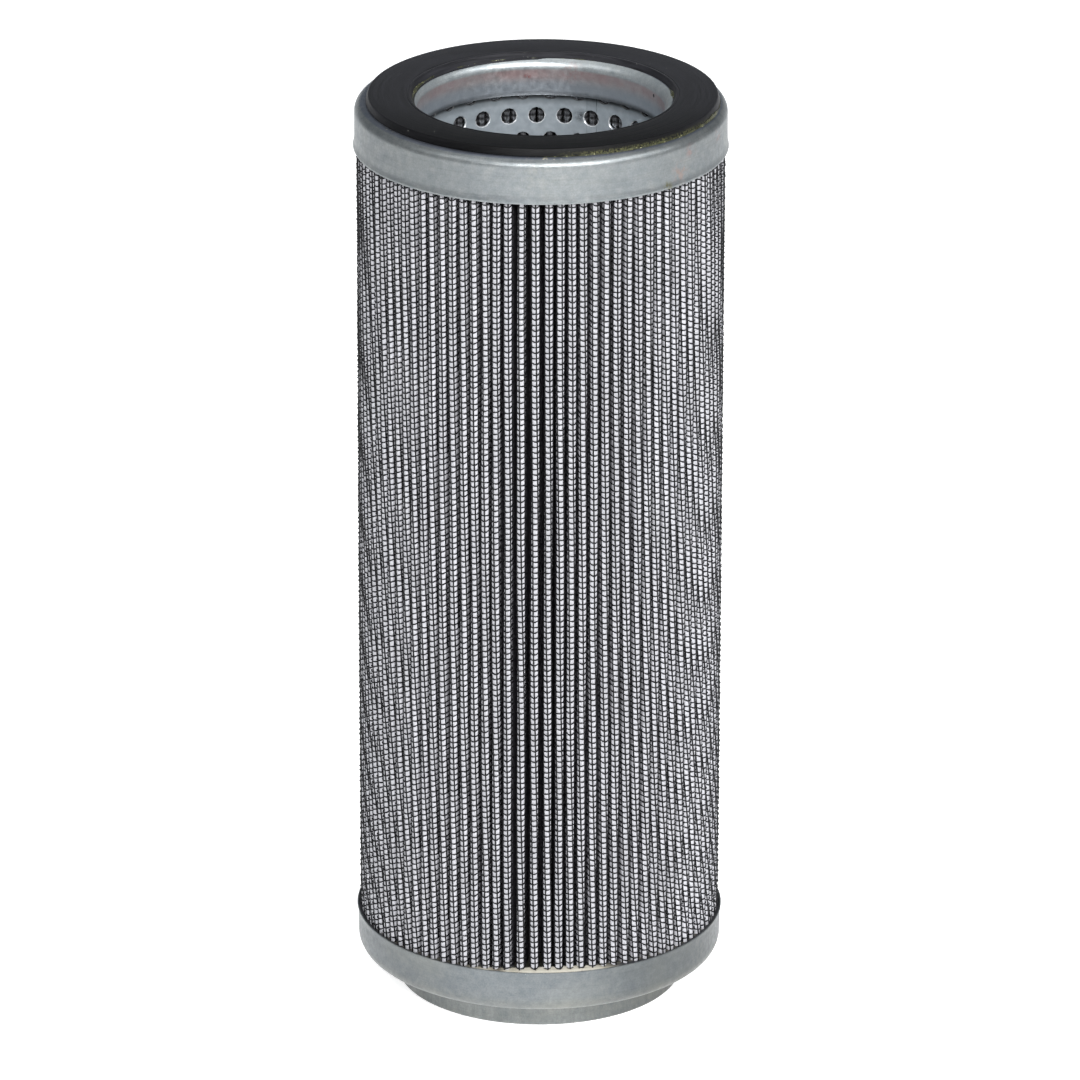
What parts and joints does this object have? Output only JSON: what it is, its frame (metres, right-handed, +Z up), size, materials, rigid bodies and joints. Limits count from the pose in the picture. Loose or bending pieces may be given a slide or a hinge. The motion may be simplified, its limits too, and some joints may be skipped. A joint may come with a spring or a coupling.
{
  "type": "hydraulic filter element",
  "caption": "Cylindrical hydraulic filter element: folded wire-mesh and glass-fibre pack round a perforated core, with drawn steel end caps and a flat rubber seal.",
  "frame": {"origin": "middle of the flat bottom of the closed boss, on which the element stands", "axes": "+Z up along the element's axis towards the open end with the seal; X and Y lie in the standing plane, the pack's side join faces +Y"},
  "size_m": [0.1024, 0.1024, 0.26],
  "materials": {
    "end_cap_steel": "satin galvanised sheet",
    "core_steel": "galvanised perforated sheet",
    "coated_wire": "black epoxy-coated wire mesh",
    "glass_fibre": "matt white glass-fibre fleece",
    "potting_resin": "cream cast resin",
    "seal_rubber": "satin black rubber",
    "seal_glue": "yellow-green adhesive smear"
  },
  "bodies": {
    "root": {"top_end_cap": "end_cap_steel", "bottom_end_cap": "end_cap_steel", "core_tube": "core_steel", "outer_mesh": "coated_wire", "filter_media": "glass_fibre", "side_join": "potting_resin", "bottom_potting": "potting_resin", "top_potting": "potting_resin", "top_seal": "seal_rubber", "seal_adhesive": "seal_glue"}
  },
  "joints": []
}
